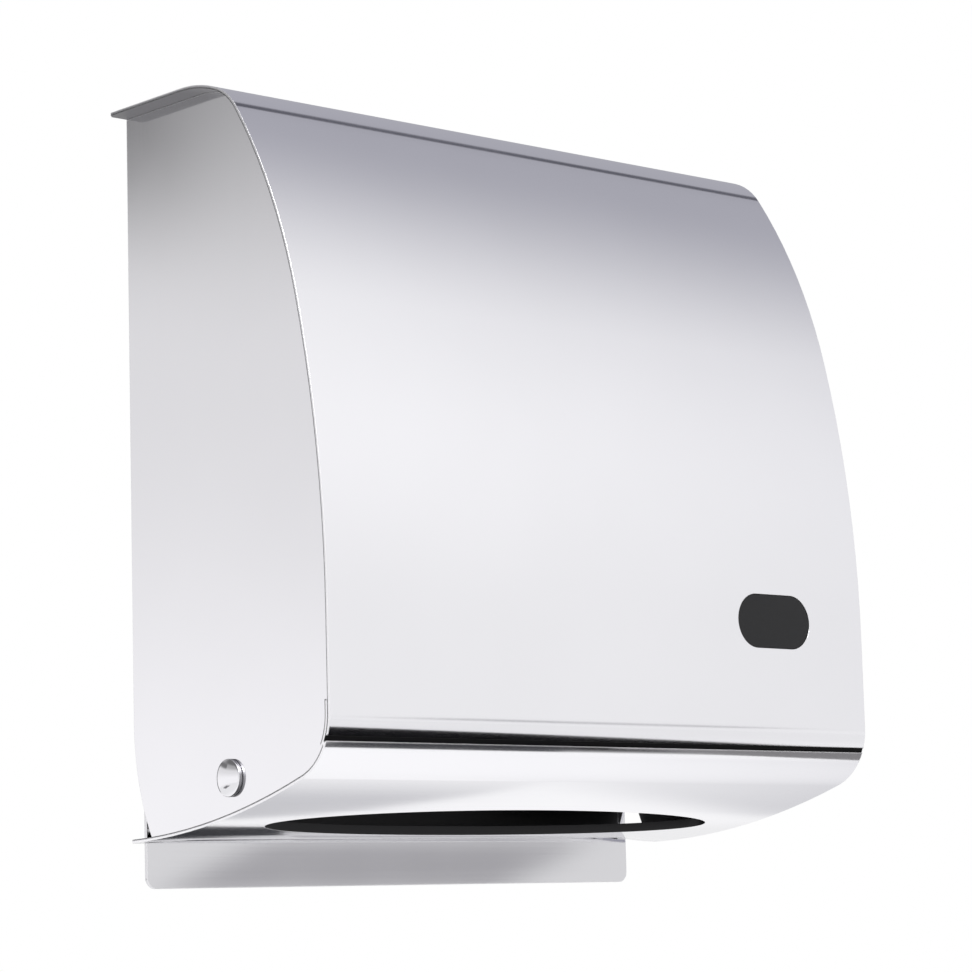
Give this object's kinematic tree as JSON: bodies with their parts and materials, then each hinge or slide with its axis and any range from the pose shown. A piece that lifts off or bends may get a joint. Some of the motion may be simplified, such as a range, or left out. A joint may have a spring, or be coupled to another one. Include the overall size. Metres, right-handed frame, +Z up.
{
  "type": "interfold towel dispenser",
  "caption": "Wall dispenser for interfold paper towels: a curved polished steel cover tilts forward on low side rivets, with an oval outlet below, a sight window and a cam lock on top.",
  "frame": {"origin": "centre of the four wall screw holes, on the back plate's wall face", "axes": "+X to the right across the front seen from the front, +Y into the wall, +Z up"},
  "size_m": [0.26, 0.121, 0.2811],
  "materials": {
    "polished_steel": "polished",
    "satin_steel": "satin",
    "nylon": "matt",
    "plated_zinc": "nickel plated",
    "smoked_plastic": "gloss",
    "black_rubber": "matt"
  },
  "bodies": {
    "base": {"back_plate": "polished_steel", "left_pivot_bracket": "satin_steel", "right_pivot_bracket": "satin_steel", "left_pivot_bush": "nylon", "right_pivot_bush": "nylon", "lock_keeper": "satin_steel"},
    "cover": {"front_sheet": "polished_steel", "seam_strip": "black_rubber", "lower_panel": "polished_steel", "left_side_panel": "polished_steel", "right_side_panel": "polished_steel", "left_pivot_rivet": "polished_steel", "right_pivot_rivet": "polished_steel", "left_pivot_washer": "nylon", "right_pivot_washer": "nylon", "window_pane": "smoked_plastic", "window_studs": "satin_steel", "window_clips": "plated_zinc", "lock_barrel": "plated_zinc", "lock_nut": "plated_zinc"},
    "lock": {"lock_plug": "plated_zinc", "lock_cam": "plated_zinc", "cam_screw": "satin_steel"}
  },
  "joints": [
    {"name": "cover_tilt", "type": "hinge", "parent": "base", "child": "cover", "pos_m": [0, -0.057, -0.1175], "axis": [1, 0, 0], "range_deg": [0, 40]},
    {"name": "lock_turn", "type": "hinge", "parent": "cover", "child": "lock", "pos_m": [0, -0.021, 0.105], "axis": [0, 0, -1], "range_deg": [0, 90]}
  ]
}
